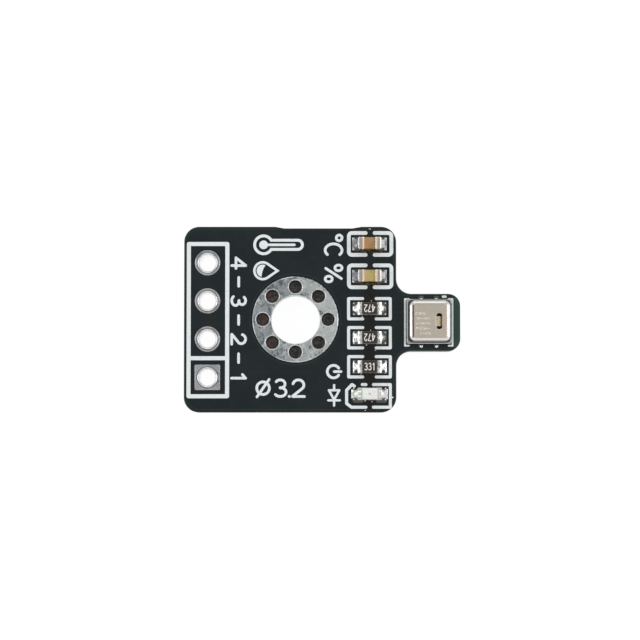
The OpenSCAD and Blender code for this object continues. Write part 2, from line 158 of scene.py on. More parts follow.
class Nodes:
    """Short forms for the nodes of one tree. A value is a number or another node's output."""

    def __init__(self, tree):
        self.tree = tree

    def set(self, node, socket, value):
        if isinstance(value, bpy.types.NodeSocket):
            self.tree.links.new(value, node.inputs[socket])
        else:
            node.inputs[socket].default_value = value

    def math(self, operation, a, b=0.0):
        node = self.tree.nodes.new("ShaderNodeMath")
        node.operation = operation
        self.set(node, 0, a)
        self.set(node, 1, b)
        return node.outputs[0]

    def vector(self, operation, a, b=(0, 0, 0)):
        node = self.tree.nodes.new("ShaderNodeVectorMath")
        node.operation = operation
        self.set(node, 0, a)
        self.set(node, 1, b)
        return node.outputs["Value" if operation in ("LENGTH", "DISTANCE") else "Vector"]

    def parts(self, vector):
        node = self.tree.nodes.new("ShaderNodeSeparateXYZ")
        self.set(node, 0, vector)
        return node.outputs

    def spread(self, value, low, high, new_low=0.0, new_high=1.0):
        """Turns the range from low to high into a soft step between two new values."""
        node = self.tree.nodes.new("ShaderNodeMapRange")
        node.interpolation_type = "SMOOTHSTEP"
        for i, x in enumerate((value, low, high, new_low, new_high)):
            self.set(node, i, x)
        return node.outputs[0]

    def ray(self, *kinds):
        """1 for rays of any of these kinds."""
        path = self.tree.nodes.new("ShaderNodeLightPath")
        value = path.outputs[f"Is {kinds[0]} Ray"]
        for kind in kinds[1:]:
            value = self.math("MAXIMUM", value, path.outputs[f"Is {kind} Ray"])
        return value

    def shader(self, kind, color):
        node = self.tree.nodes.new(f"ShaderNode{kind}")
        self.set(node, "Color", color)
        return node.outputs[0]

    def blend(self, factor, a, b):
        node = self.tree.nodes.new("ShaderNodeMixShader")
        for i, x in enumerate((factor, a, b)):
            self.set(node, i, x)
        return node.outputs[0]


class Material(Nodes):
    """A Principled material whose textures are measured in millimetres of the object."""

    def __init__(self, name, color, roughness, metallic=0.0, **sockets):
        self.made = bpy.data.materials.new(name)
        self.made.use_nodes = True
        super().__init__(self.made.node_tree)
        self.principled = self.tree.nodes["Principled BSDF"]
        self.base = (*color, 1)
        self.color(self.base)
        self.roughness(roughness)
        self.set(self.principled, "Metallic", metallic)
        for socket, value in sockets.items():
            self.set(self.principled, socket.replace("_", " "), value)
        coordinates = self.tree.nodes.new("ShaderNodeTexCoord").outputs["Object"]
        self.place = self.vector("DIVIDE", coordinates, (MM, MM, MM))
        self.flat_place = self.vector("MULTIPLY", self.place, (1, 1, 0))

    def color(self, value):
        self.base = value
        self.set(self.principled, "Base Color", value)

    def roughness(self, value):
        self.set(self.principled, "Roughness", value)

    def stretched(self, scale):
        return self.vector("MULTIPLY", self.place, scale)

    def noise(self, scale, detail=3.0, roughness=0.55, place=None):
        node = self.tree.nodes.new("ShaderNodeTexNoise")
        self.set(node, "Vector", place or self.place)
        self.set(node, "Scale", scale)
        self.set(node, "Detail", detail)
        self.set(node, "Roughness", roughness)
        return node.outputs["Fac"]

    def mix(self, factor, a, b):
        node = self.tree.nodes.new("ShaderNodeMix")
        node.data_type = "RGBA"
        self.set(node, 0, factor)
        for i, x in ((6, a), (7, b)):
            self.set(node, i, (*x, 1) if isinstance(x, (tuple, list)) and len(x) == 3 else x)
        return node.outputs[2]

    def tint(self, factor, color):
        """Lays another colour over the present one."""
        self.color(self.mix(factor, self.base, color))

    def bump(self, height, depth, strength=1.0):
        """Relief of a depth in millimetres."""
        node = self.tree.nodes.new("ShaderNodeBump")
        node.inputs["Strength"].default_value = strength
        node.inputs["Distance"].default_value = depth * MM
        self.tree.links.new(height, node.inputs["Height"])
        normal = self.principled.inputs["Normal"]
        if normal.is_linked:
            self.tree.links.new(normal.links[0].from_socket, node.inputs["Normal"])
        self.tree.links.new(node.outputs[0], normal)

    def distance(self, x, y):
        """Distance in the XY plane to a point."""
        return self.vector("DISTANCE", self.flat_place, (x, y, 0))

    def rounded_rect_distance(self, low, high, radius):
        """Distance in the XY plane to the outline of a rounded rectangle, negative inside."""
        centre = ((low[0] + high[0]) / 2, (low[1] + high[1]) / 2, 0)
        half = ((high[0] - low[0]) / 2 - radius, (high[1] - low[1]) / 2 - radius, 0)
        offset = self.vector("ABSOLUTE", self.vector("SUBTRACT", self.flat_place, centre))
        out = self.vector("SUBTRACT", offset, half)
        beyond = self.vector("LENGTH", self.vector("MAXIMUM", out, (0, 0, 0)))
        x, y, _ = self.parts(out)
        inside = self.math("MINIMUM", self.math("MAXIMUM", x, y), 0.0)
        return self.math("SUBTRACT", self.math("ADD", beyond, inside), radius)

    def hollow_union(self, a, b, radius):
        """Distance to two shapes joined by hollow corners, from the distances to each."""
        squares = 0.0
        for distance in (a, b):
            depth = self.math("MAXIMUM", self.math("SUBTRACT", radius, distance), 0.0)
            squares = self.math("ADD", squares, self.math("MULTIPLY", depth, depth))
        return self.math("SUBTRACT", radius, self.math("SQRT", squares))


# Materials

BODY_RIGHT = 6.7
TAB_LOW = -2.1
TAB_HIGH = 1.7
# Radius of the hollow corners where the tab starts
HOLLOW_R = 1.0
RING_R = 2.875
CHIP_X = 4.93
# Offset of the can of the sensor's lid from the package's middle
CAN_SHIFT = (0.035, 0.015)
SLOT_X = 9.515
VIA_CIRCLE_R = 2.17
VIA_PLACES = [(VIA_CIRCLE_R * math.cos(math.radians(45 * i)), VIA_CIRCLE_R * math.sin(math.radians(45 * i)))
              for i in range(8)]
# Small vias that the mask covers
TENTED_VIAS = ((4.15, 3.95), (5.62, 1.64), (4.96, 1.55), (4.96, -0.11), (4.96, -1.97), (4.03, -4.19))


def board_material():
    """Satin black mask, greener at the rim, with covered vias, and cut glass laminate on the edges."""
    m = Material("board_mask", (0.004, 0.011, 0.013), 0.35, Specular_IOR_Level=0.3)
    body = m.rounded_rect_distance((board_low.x, board_low.y), (BODY_RIGHT, board_high.y), 1.0)
    tab = m.rounded_rect_distance((BODY_RIGHT - 3, TAB_LOW), (board_high.x, TAB_HIGH), 0.8)
    rim = m.hollow_union(body, tab, HOLLOW_R)
    x, y, z = m.parts(m.place)
    cloudy = m.noise(0.45, 4)
    blotchy = m.noise(3.5, 4, 0.6)
    fine = m.noise(9, 3)
    m.color(m.mix(m.spread(cloudy, 0.35, 0.7), (0.0028, 0.0088, 0.0118), (0.0066, 0.0120, 0.0138)))
    m.tint(m.spread(blotchy, 0.55, 0.75, 0, 0.5), (0.012, 0.017, 0.017))
    from_chips = m.math("ABSOLUTE", m.math("SUBTRACT", x, CHIP_X))
    column = m.math("MULTIPLY", m.spread(from_chips, 0.48, 0.28), m.spread(y, 2.9, 2.6))
    m.tint(m.math("MULTIPLY", column, m.spread(m.noise(2.8, 3), 0.3, 0.5, 0.35, 0.9)), (0.0055, 0.0045, 0.0035))
    for n in (1, 2):
        low, high = box_mm(f"capacitor_{n}_ceramic")
        # The dark strip is flux residue and painted shade under the chip's near side; the amber specks are flux
        flux_and_shade_patch = m.rounded_rect_distance((low.x - 0.12, low.y - 0.25), (high.x + 0.12, low.y + 0.1), 0.1)
        m.tint(m.spread(flux_and_shade_patch, 0.05, -0.03), (0.006, 0.004, 0.002))
        m.tint(m.math("MULTIPLY", m.spread(flux_and_shade_patch, 0.0, -0.08), m.spread(m.noise(7, 3, 0.6), 0.48, 0.60)),
               (0.12, 0.075, 0.02))
    bare = m.math("MULTIPLY", m.spread(rim, -0.11, -0.05), m.spread(y, -6.0, -5.7, 0.1, 0.7))
    tab_end = m.spread(x, board_high.x - 0.43, board_high.x - 0.37)
    m.tint(m.math("MAXIMUM", bare, tab_end), (0.029, 0.066, 0.050))
    line = m.math("ABSOLUTE", m.math("ADD", rim, 0.19))
    m.tint(m.spread(line, 0.05, 0.0, 0, 0.6), (0.030, 0.033, 0.032))
    from_hole = m.distance(0, 0)
    # Painted shade in the dip at the ring's foot, and a painted highlight where the mask rises around it
    m.tint(m.spread(from_hole, RING_R + 0.09, RING_R + 0.02, 0, 0.8), (0.001, 0.002, 0.003))
    mask_rise_highlight = m.math("ABSOLUTE", m.math("SUBTRACT", from_hole, RING_R + 0.15))
    m.tint(m.spread(mask_rise_highlight, 0.05, 0.0, 0, 0.6), (0.024, 0.032, 0.034))
    near = m.distance(*TENTED_VIAS[0])
    for via in TENTED_VIAS[1:]:
        near = m.math("MINIMUM", near, m.distance(*via))
    m.tint(m.spread(near, 0.14, 0.08, 0, 0.8), (0.0012, 0.002, 0.002))
    facing = m.tree.nodes.new("ShaderNodeNewGeometry").outputs["True Normal"]
    side = m.spread(m.math("ABSOLUTE", m.parts(facing)[2]), 0.6, 0.4)
    layers = m.noise(1.0, 5, place=m.stretched((1.5, 1.5, 22)))
    glass = m.noise(14, 3, place=m.stretched((1, 1, 0.35)))
    cut = m.mix(m.spread(layers, 0.3, 0.7), (0.28, 0.27, 0.17), (0.48, 0.46, 0.33))
    cut = m.mix(m.spread(glass, 0.6, 0.75), cut, (0.64, 0.62, 0.50))
    under_mask = m.spread(m.math("ABSOLUTE", m.math("SUBTRACT", z, BOARD_TOP / 2)), 0.745, 0.765)
    m.tint(side, m.mix(under_mask, cut, (0.010, 0.014, 0.012)))
    rough = m.spread(m.noise(2.2, 4), 0.3, 0.7, 0.26, 0.40)
    m.roughness(m.math("ADD", rough, m.math("MULTIPLY", side, 0.4)))
    m.bump(cloudy, 0.006)
    m.bump(fine, 0.0015)
    m.bump(m.spread(near, 0.08, 0.18), 0.012)
    m.bump(m.spread(from_hole, RING_R + 0.03, RING_R + 0.17), 0.012)
    return m.made


def tin(name, bright, dark, scuffs):
    """Plated tin, mottled, scuffed and scratched."""
    m = Material(name, bright, 0.3, 1.0)
    patches = m.noise(1.35, 5, 0.6)
    grit = m.noise(11, 4, 0.7)
    scratches = m.noise(3, 4, 0.6, place=m.stretched((1, 7, 1)))
    m.color(m.mix(m.spread(patches, 0.35, 0.65), bright, [0.78 * c for c in bright]))
    m.tint(m.spread(m.noise(26, 3, 0.7), 0.50, 0.72, 0, 0.45), [1.35 * c for c in bright])
    worn = m.math("MULTIPLY", m.spread(grit, 0.46, 0.60), m.spread(patches, 0.49, 0.60))
    m.tint(m.math("MULTIPLY", worn, scuffs), dark)
    m.roughness(m.spread(scratches, 0.35, 0.65, 0.22, 0.40))
    m.bump(grit, 0.008)
    m.bump(scratches, 0.004)
    return m


def ring_material():
    """The ring's tin: blotches, painted light towards the right, a painted highlight on the outer lip, and vias
    painted dark, where little light gets in.
    """
    m = tin("ring_tin", (0.42, 0.455, 0.47), (0.09, 0.095, 0.11), 0.95)
    x, y, z = m.parts(m.place)
    from_hole = m.distance(0, 0)
    # Painted light: the tin grows lighter towards the right
    m.tint(m.spread(x, -1.4, 2.2, 0, 0.75), (0.68, 0.735, 0.71))
    m.tint(m.spread(m.noise(2.0, 4, 0.6), 0.54, 0.62, 0, 0.7), (0.74, 0.77, 0.77))
    blotches = m.math("MULTIPLY", m.spread(m.noise(1.7, 3, 0.55, m.stretched((1.2, 0.9, 1))), 0.52, 0.60),
                      m.spread(m.noise(6.5, 4, 0.7), 0.44, 0.58, 0.15, 1.0))
    m.tint(m.math("MULTIPLY", blotches, 0.9), (0.11, 0.115, 0.14))
    m.tint(m.spread(m.noise(6, 5, 0.75), 0.585, 0.66, 0, 0.65), (0.15, 0.155, 0.17))
    # Painted highlight along the outer lip
    lip_highlight = m.math("MULTIPLY", m.spread(from_hole, 2.79, 2.83), m.spread(m.noise(1.1, 2), 0.38, 0.55, 0.2, 0.9))
    m.tint(lip_highlight, (0.80, 0.82, 0.82))
    deep = m.spread(z, PAD_TOP - 0.02, PAD_TOP - 0.06)
    m.tint(m.math("MULTIPLY", deep, m.spread(from_hole, 1.68, 1.70)), (0.06, 0.05, 0.045))
    m.bump(m.spread(from_hole, 2.86, 2.80), 0.018)
    return m.made


def barrel_material():
    """Smooth tin on the wall of a header hole, with painted light and shade: brightest deep down and darker
    towards the mouth.
    """
    m = Material("barrel_tin", (0.95, 0.95, 0.94), 0.12, 1.0)
    rings = m.noise(2, 3, place=m.stretched((1, 1, 6)))
    m.color(m.mix(m.spread(rings, 0.35, 0.65), (1.0, 1.0, 0.995), (0.93, 0.94, 0.95)))
    z = m.parts(m.place)[2]
    # Painted light and shade: the wall darkens towards the mouth
    m.tint(m.spread(z, 1.10, 1.38), (0.83, 0.83, 0.83))
    m.tint(m.spread(z, 1.42, 1.60), (0.73, 0.73, 0.735))
    m.roughness(m.spread(rings, 0.3, 0.7, 0.12, 0.26))
    m.bump(rings, 0.01)
    return m.made


def solder_material(name, bright, dark, relief=0.016, rough=(0.10, 0.30)):
    m = Material(name, bright, 0.16, 1.0)
    grain = m.noise(7, 4, 0.6)
    m.color(m.mix(m.spread(grain, 0.4, 0.62), bright, dark))
    m.roughness(m.spread(grain, 0.3, 0.7, *rough))
    m.bump(grain, relief)
    m.bump(m.noise(26, 3), relief / 5)
    return m.made


def end_metal_material():
    """Tin over the chips' ends, with a warm cast, and painted light and shade: darker on the left end, warmer and
    lighter on the right end, darker on the waist, and a peach highlight beside the ceramic.
    """
    m = Material("end_metal", (0.84, 0.79, 0.76), 0.25, 1.0)
    grain = m.noise(9, 4, 0.65)
    m.color(m.mix(m.spread(grain, 0.38, 0.62), (0.80, 0.76, 0.74), (0.56, 0.52, 0.52)))
    across = m.math("SUBTRACT", m.parts(m.place)[0], CHIP_X)
    along = m.math("ABSOLUTE", across)
    # Painted shade on the left end, and warm painted light on the right end
    m.tint(m.spread(across, -0.3, -0.4, 0, 0.3), (0.50, 0.48, 0.48))
    m.tint(m.spread(across, 0.3, 0.4, 0, 0.5), (0.94, 0.86, 0.72))
    # Painted shade on the waist
    m.tint(m.math("MULTIPLY", m.spread(along, 0.46, 0.53), m.spread(along, 0.68, 0.60, 0, 0.65)),
           (0.40, 0.36, 0.34))
    # Painted highlight, peach, along the ridge beside the ceramic
    m.tint(m.spread(along, 0.52, 0.48), (0.99, 0.86, 0.70))
    m.roughness(m.spread(grain, 0.3, 0.7, 0.16, 0.34))
    m.bump(grain, 0.006)
    return m.made


def wrap_material():
    """Tin over the resistors' ends, which rounds off outwards, with brown specks."""
    m = Material("wrap_metal", (0.96, 0.95, 0.93), 0.2, 1.0)
    grain = m.noise(9, 4, 0.65)
    along = m.math("ABSOLUTE", m.math("SUBTRACT", m.parts(m.place)[0], CHIP_X))
    m.color(m.mix(m.spread(m.noise(3.5, 3, 0.6), 0.44, 0.58), (0.76, 0.75, 0.73), (0.42, 0.42, 0.41)))
    m.tint(m.spread(grain, 0.45, 0.65, 0, 0.7), (0.50, 0.49, 0.47))
    m.tint(m.spread(along, 0.66, 0.56, 0, 0.6), (0.62, 0.61, 0.57))
    m.tint(m.spread(m.noise(14, 3, 0.7), 0.58, 0.66, 0, 0.7), (0.26, 0.19, 0.12))
    m.roughness(m.spread(grain, 0.3, 0.7, 0.15, 0.30))
    m.bump(grain, 0.006)
    uneven = m.spread(m.noise(4.5, 3, 0.6), 0.40, 0.60, 0.55, 1.0)
    m.bump(m.math("MULTIPLY", m.spread(along, 0.80, 0.57), uneven), 0.05)
    return m.made


def ceramic_material(name, light, dark, warm):
    """Fired ceramic: fine specks, a satin skin, warmer towards the left, and a darker strip at the right as
    painted shade.
    """
    m = Material(name, light, 0.42)
    cloudy = m.noise(2.5, 3)
    specks = m.noise(24, 3, 0.7)
    m.color(m.mix(m.spread(cloudy, 0.3, 0.7), light, dark))
    x, y, z = m.parts(m.place)
    # Painted shade: a darker strip at the right
    m.tint(m.spread(x, 5.12, 5.20, 0, 0.45), [0.8 * c for c in dark])
    m.tint(m.spread(x, 5.0, 4.6, 0, 0.6), warm)
    m.tint(m.spread(specks, 0.6, 0.75), [0.6 * c for c in dark])
    m.roughness(m.spread(specks, 0.3, 0.7, 0.32, 0.5))
    m.bump(specks, 0.003)
    return m.made


def overcoat_material():
    """Brown-black glass coat."""
    m = Material("overcoat", (0.030, 0.022, 0.017), 0.34)
    grain = m.noise(12, 4, 0.6)
    m.color(m.mix(m.spread(grain, 0.35, 0.7), (0.012, 0.010, 0.009), (0.034, 0.026, 0.020)))
    for n in (1, 2, 3):
        low, high = box_mm(f"resistor_{n}_overcoat")
        edge = m.rounded_rect_distance((low.x, low.y), (high.x, high.y), 0.03)
        m.tint(m.spread(m.math("ABSOLUTE", m.math("ADD", edge, 0.03)), 0.035, 0.01, 0, 0.4), (0.13, 0.10, 0.06))
    m.roughness(m.spread(grain, 0.3, 0.7, 0.26, 0.46))
    m.bump(grain, 0.006)
    return m.made


def ink_material(name, light, dark):
    """Screen-printed ink: matte, a little thin in places."""
    m = Material(name, light, 0.55)
    thin = m.noise(5, 4, 0.65)
    m.color(m.mix(m.spread(thin, 0.5, 0.8), light, dark))
    m.roughness(m.spread(thin, 0.3, 0.7, 0.5, 0.7))
    m.bump(m.noise(18, 3), 0.004)
    return m.made


def plug_material():
    """Dark resin in the vias: olive, reddish at the left ones, and darker towards each wall as painted shade."""
    m = Material("via_plug", (0.03, 0.02, 0.016), 0.5)
    x, y, z = m.parts(m.place)
    grit = m.noise(8, 4, 0.75)
    light = m.spread(m.noise(3.2, 3, 0.6), 0.40, 0.66)
    m.color(m.mix(light, (0.030, 0.025, 0.016), (0.115, 0.098, 0.072)))
    m.tint(m.spread(m.math("ADD", x, y), 0.2, 3.0, 0, 0.7), (0.014, 0.018, 0.013))
    reddish = m.math("MULTIPLY", m.spread(x, -0.9, -1.7), m.spread(m.noise(2.6, 2), 0.42, 0.62))
    m.tint(m.math("MULTIPLY", reddish, 0.8), (0.17, 0.040, 0.032))
    m.tint(m.spread(grit, 0.50, 0.58), (0.008, 0.007, 0.006))
    m.tint(m.spread(m.noise(9, 3, 0.7), 0.56, 0.63, 0, 0.8), (0.24, 0.20, 0.16))
    # Painted shade towards each via's wall
    wall = m.distance(*VIA_PLACES[0])
    for place in VIA_PLACES[1:]:
        wall = m.math("MINIMUM", wall, m.distance(*place))
    m.tint(m.spread(wall, 0.26, 0.42, 0, 0.85), (0.008, 0.007, 0.006))
    m.roughness(m.spread(grit, 0.3, 0.7, 0.3, 0.65))
    m.bump(grit, 0.03)
    return m.made


def lid_material():
    """Drawn metal with a fine satin grain, and painted light and shade: highlights on the shoulders and on the
    flange's rim, shade at both ends, on the lower walls, on the flange and in the crease at the can's foot, and a
    dark reflection along the left shoulder.
    """
    m = Material("lid_metal", (0.70, 0.63, 0.52), 0.28, 1.0)
    grain = m.noise(22, 3, 0.7)
    drawn = m.noise(5, 4, 0.6, place=m.stretched((1, 4, 4)))
    blotches = m.noise(1.6, 4, 0.6)
    m.color(m.mix(m.spread(drawn, 0.3, 0.7), (0.74, 0.665, 0.555), (0.65, 0.58, 0.48)))
    m.tint(m.spread(blotches, 0.5, 0.7, 0, 0.5), (0.66, 0.59, 0.52))
    from_middle = m.math("ABSOLUTE", m.math("SUBTRACT", m.parts(m.place)[0], SLOT_X - 0.65))
    m.tint(m.spread(from_middle, 0.55, 1.0, 0, 0.45), (0.76, 0.62, 0.56))
    flange_z = box_mm("sensor_lid")[0].z + 0.1
    height = m.parts(m.place)[2]
    low, high = box_mm("sensor_lid")
    middle = (low + high) / 2
    # Painted highlight on the can's shoulders and walls below the top face
    m.tint(m.spread(height, high.z - 0.020, high.z - 0.045), (0.80, 0.79, 0.77))
    x, y, z = m.parts(m.place)
    # Painted shade at the far end and at the near end
    m.tint(m.spread(y, high.y - 0.50, high.y - 0.36, 0, 0.6), (0.52, 0.50, 0.47))
    m.tint(m.spread(y, low.y + 0.27, low.y + 0.20, 0, 0.75), (0.36, 0.34, 0.31))
    # Painted shade on the lower walls and on the flange
    m.tint(m.spread(height, flange_z + 0.44, flange_z + 0.36), (0.26, 0.26, 0.26))
    m.tint(m.spread(height, flange_z + 0.05, flange_z + 0.02), (0.36, 0.385, 0.39))
    edge = m.rounded_rect_distance((low.x, low.y), (high.x, high.y), 0.1)
    on_flange = m.spread(height, flange_z + 0.03, flange_z + 0.01)
    # Painted highlight on the flange's drooping rim
    m.tint(m.math("MULTIPLY", on_flange, m.spread(edge, -0.075, -0.045)), (0.62, 0.64, 0.64))
    # Painted shade in the crease where the flange meets the can
    wall = m.rounded_rect_distance((low.x + 0.07 + CAN_SHIFT[0], low.y + 0.07 + CAN_SHIFT[1]),
                                   (high.x - 0.07 + CAN_SHIFT[0], high.y - 0.07 + CAN_SHIFT[1]), 0.34)
    m.tint(m.math("MULTIPLY", on_flange, m.spread(wall, 0.05, 0.015, 0, 0.9)), (0.03, 0.03, 0.03))
    x, y, z = m.parts(m.place)
    # A painted dark reflection along the left shoulder of the top
    line = m.math("ABSOLUTE", m.math("SUBTRACT", x, low.x + 0.40))
    ends = m.math("ABSOLUTE", m.math("SUBTRACT", y, middle.y))
    m.tint(m.math("MULTIPLY", m.spread(line, 0.07, 0.035, 0, 0.85), m.spread(ends, 1.10, 1.02)),
           (0.09, 0.065, 0.055))
    m.roughness(m.spread(grain, 0.3, 0.7, 0.20, 0.32))
    m.bump(grain, 0.0035)
    m.bump(drawn, 0.003)
    return m.made


def lens_material():
    """Milky resin: greenish at one end, pink at the near side, with the die and its wire as shadows."""
    m = Material("led_resin", (0.93, 0.93, 0.91), 0.22, Transmission_Weight=0.08, IOR=1.5)
    low, high = box_mm("led_lens")
    x, y, z = m.parts(m.place)
    haze = m.noise(4, 3)
    m.color(m.mix(m.spread(haze, 0.3, 0.7), (0.95, 0.95, 0.93), (0.86, 0.855, 0.83)))
    m.tint(m.spread(x, low.x + 0.22, low.x + 0.02, 0, 0.6), (0.70, 0.90, 0.72))
    m.tint(m.spread(y, low.y + 0.24, low.y + 0.03, 0, 0.5), (0.86, 0.70, 0.74))
    die_low, die_high = box_mm("led_die")
    die = ((die_low.x + die_high.x) / 2, (die_low.y + die_high.y) / 2)
    m.tint(m.spread(m.distance(*die), 0.10, 0.02, 0, 0.75), (0.30, 0.27, 0.20))
    wire = m.math("ABSOLUTE", m.math("SUBTRACT", y, die[1] - 0.12))
    m.tint(m.math("MULTIPLY", m.spread(wire, 0.035, 0.0, 0, 0.3), m.spread(x, die[0], die[0] + 0.05)),
           (0.55, 0.52, 0.45))
    m.roughness(m.spread(m.noise(11, 3), 0.3, 0.7, 0.16, 0.3))
    m.bump(haze, 0.006)
    return m.made


def element_material():
    """Pale polymer over gold, browner at the right, as seen through the slot."""
    m = Material("sensing_element", (0.80, 0.70, 0.50), 0.35, 0.8)
    grain = m.noise(9, 4)
    m.color(m.mix(m.spread(grain, 0.3, 0.7), (0.97, 0.87, 0.64), (0.86, 0.74, 0.50)))
    x = m.parts(m.place)[0]
    m.tint(m.spread(x, SLOT_X + 0.02, SLOT_X + 0.12), (0.42, 0.26, 0.08))
    m.roughness(m.spread(grain, 0.3, 0.7, 0.28, 0.42))
    m.bump(grain, 0.004)
    return m.made


def plain_material(name, light, dark, roughness, metallic=0.0, scale=8.0):
    """Small inner pieces: two close shades with a grain."""
    m = Material(name, light, roughness, metallic)
    grain = m.noise(scale, 4)
    m.color(m.mix(m.spread(grain, 0.3, 0.7), light, dark))
    m.roughness(m.spread(grain, 0.3, 0.7, roughness * 0.8, roughness * 1.2))
    m.bump(grain, 0.004)
    return m.made


MASK = board_material()
TIN = ring_material()
RIM_TIN = tin("rim_tin", (0.62, 0.64, 0.645), (0.25, 0.25, 0.26), 0.4).made
PAD_TIN = tin("pad_tin", (0.50, 0.51, 0.515), (0.16, 0.16, 0.16), 0.6).made
# A darker copy of the pad's tin: painted shade in the groove
SHADED_GROOVE_TIN = tin("shaded_groove_tin", (0.30, 0.30, 0.305), (0.10, 0.10, 0.10), 0.8).made
BARREL_TIN = barrel_material()
LAND_TIN = tin("land_tin", (0.16, 0.155, 0.14), (0.04, 0.04, 0.035), 0.7).made
SOLDER = solder_material("solder", (0.88, 0.88, 0.88), (0.60, 0.60, 0.61))
WRAP_METAL = wrap_material()
# A darker copy of the solder: painted shade
GREY_SHADED_SOLDER = solder_material("grey_shaded_solder", (0.66, 0.67, 0.67), (0.50, 0.51, 0.51), 0.006)
PALE_SOLDER = solder_material("pale_solder", (0.88, 0.92, 0.86), (0.70, 0.73, 0.66), 0.006, (0.35, 0.5))
WARM_SOLDER = solder_material("warm_solder", (0.94, 0.91, 0.91), (0.76, 0.72, 0.73), 0.010, (0.24, 0.38))
# A still darker copy of the solder, no rougher: painted shade
DARK_SHADED_SOLDER = solder_material("dark_shaded_solder", (0.62, 0.62, 0.63), (0.26, 0.26, 0.27))
END_METAL = end_metal_material()
CERAMIC_BROWN = ceramic_material("ceramic_brown", (0.40, 0.23, 0.10), (0.31, 0.18, 0.075), (0.47, 0.22, 0.065))
CERAMIC_TAN = ceramic_material("ceramic_tan", (0.47, 0.37, 0.13), (0.38, 0.29, 0.095), (0.56, 0.38, 0.20))
OVERCOAT = overcoat_material()
INK = ink_material("legend_ink", (0.79, 0.82, 0.82), (0.60, 0.65, 0.66))
CODE_INK = ink_material("code_ink", (0.90, 0.88, 0.82), (0.62, 0.58, 0.50))
PLUG = plug_material()
LID = lid_material()
LENS = lens_material()
MARK = plain_material("laser_mark", (0.96, 0.89, 0.78), (0.70, 0.63, 0.54), 0.45, 1.0)
ALUMINA = plain_material("alumina", (0.80, 0.80, 0.77), (0.70, 0.70, 0.67), 0.6)
LED_BASE = plain_material("led_base", (0.72, 0.76, 0.66), (0.60, 0.66, 0.56), 0.45)
DIE = plain_material("led_die", (0.10, 0.10, 0.07), (0.20, 0.19, 0.12), 0.35)
LED_METAL = plain_material("led_metal", (0.86, 0.86, 0.82), (0.66, 0.66, 0.61), 0.25, 1.0)
PACKAGE = plain_material("package_laminate", (0.020, 0.026, 0.020), (0.045, 0.050, 0.038), 0.5)
ELEMENT = element_material()
SILICON = plain_material("silicon", (0.09, 0.09, 0.10), (0.14, 0.14, 0.16), 0.2, 0.6)

SHOWN_AS = {
    "printed_circuit_board": MASK, "mounting_ring": TIN, "via_plugs": PLUG, "copper_lands": LAND_TIN,
    "header_legend": INK, "thermometer_legend": INK, "droplet_legend": INK, "chip_legend": INK,
    "sensor_legend": INK, "capacitor_1_ceramic": CERAMIC_BROWN, "capacitor_2_ceramic": CERAMIC_TAN,
    "led_base": LED_BASE, "led_lens": LENS, "led_die": DIE, "led_terminals": LED_METAL,
    "sensor_base": PACKAGE, "sensor_element": ELEMENT,
    "sensor_readout_chip": SILICON, "sensor_solder": SOLDER,
}
for n in (1, 2, 3):
    SHOWN_AS[f"resistor_{n}_substrate"] = ALUMINA
    SHOWN_AS[f"resistor_{n}_overcoat"] = OVERCOAT
for name, material in SHOWN_AS.items():
    nodes[name].data.materials.clear()
    nodes[name].data.materials.append(material)


# Camera

CENTRE = Vector((1.635, -0.04, BOARD_TOP)) * MM
DISTANCE = 0.15
ELEVATION = math.radians(87)
VIEW_WIDTH = 640 / 15.05 * MM
camera_data = bpy.data.cameras.new("camera")
camera_data.sensor_width = 36
camera_data.lens = 36 * DISTANCE / VIEW_WIDTH
camera_data.clip_start = 0.01
camera = bpy.data.objects.new("camera", camera_data)
bpy.context.scene.collection.objects.link(camera)
back = Vector((0, -math.cos(ELEVATION), math.sin(ELEVATION)))
camera.location = CENTRE + DISTANCE * back
camera.rotation_euler = (-back).to_track_quat("-Z", "Y").to_euler()
bpy.context.scene.camera = camera


# Header pads: tinned, with a worn groove painted darker as shade inside a bright rim, and a mouth that rolls into
# the barrel

PAD_HALF = 0.85
HOLE_R = 0.51
BARREL_R = 0.59
MOUTH_R = 0.655
FUNNEL_LOW = 1.1
FUNNEL_HIGH = 1.635
AROUND = 96


def square_reach(angle, half, corner):
    """Distance from the middle to the edge of a square with small round corners."""
    a = abs((angle + math.pi / 4) % (math.pi / 2) - math.pi / 4)
    side = half / math.cos(a)
    diagonal = math.hypot(half - corner, half - corner) + corner
    return min(side, diagonal)


